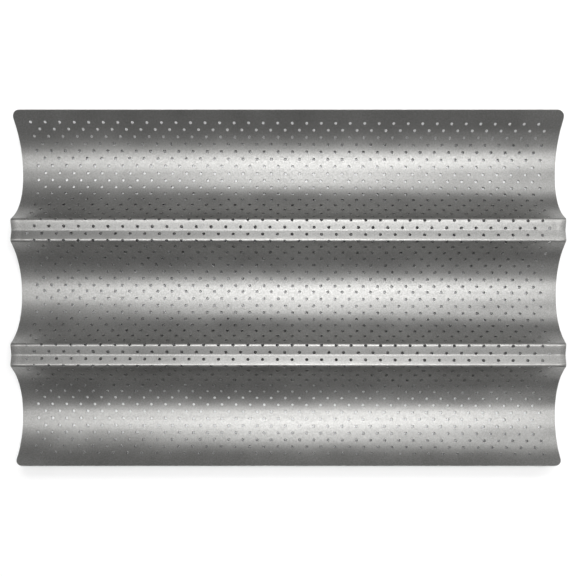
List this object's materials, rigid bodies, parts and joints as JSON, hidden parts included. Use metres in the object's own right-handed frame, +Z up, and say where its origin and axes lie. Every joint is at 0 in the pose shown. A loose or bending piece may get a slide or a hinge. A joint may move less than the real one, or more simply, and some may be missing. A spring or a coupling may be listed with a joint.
{
  "type": "baguette tray",
  "caption": "Perforated sheet-metal tray pressed into long parallel troughs that hold baguettes while they prove and bake, with open ends and grooved ridges between the troughs.",
  "frame": {"origin": "centre of the footprint, on the surface that the tray stands on", "axes": "+X along the troughs, +Y across the tray towards the back edge (the taller outer flank), +Z up"},
  "size_m": [0.38, 0.2452, 0.022],
  "materials": {
    "coated_steel": "satin metallic-grey non-stick coating with a fine speckle"
  },
  "bodies": {
    "root": {"front_rim": "coated_steel", "front_trough": "coated_steel", "front_ridge": "coated_steel", "middle_trough": "coated_steel", "back_ridge": "coated_steel", "back_trough": "coated_steel", "back_rim": "coated_steel"}
  },
  "joints": []
}
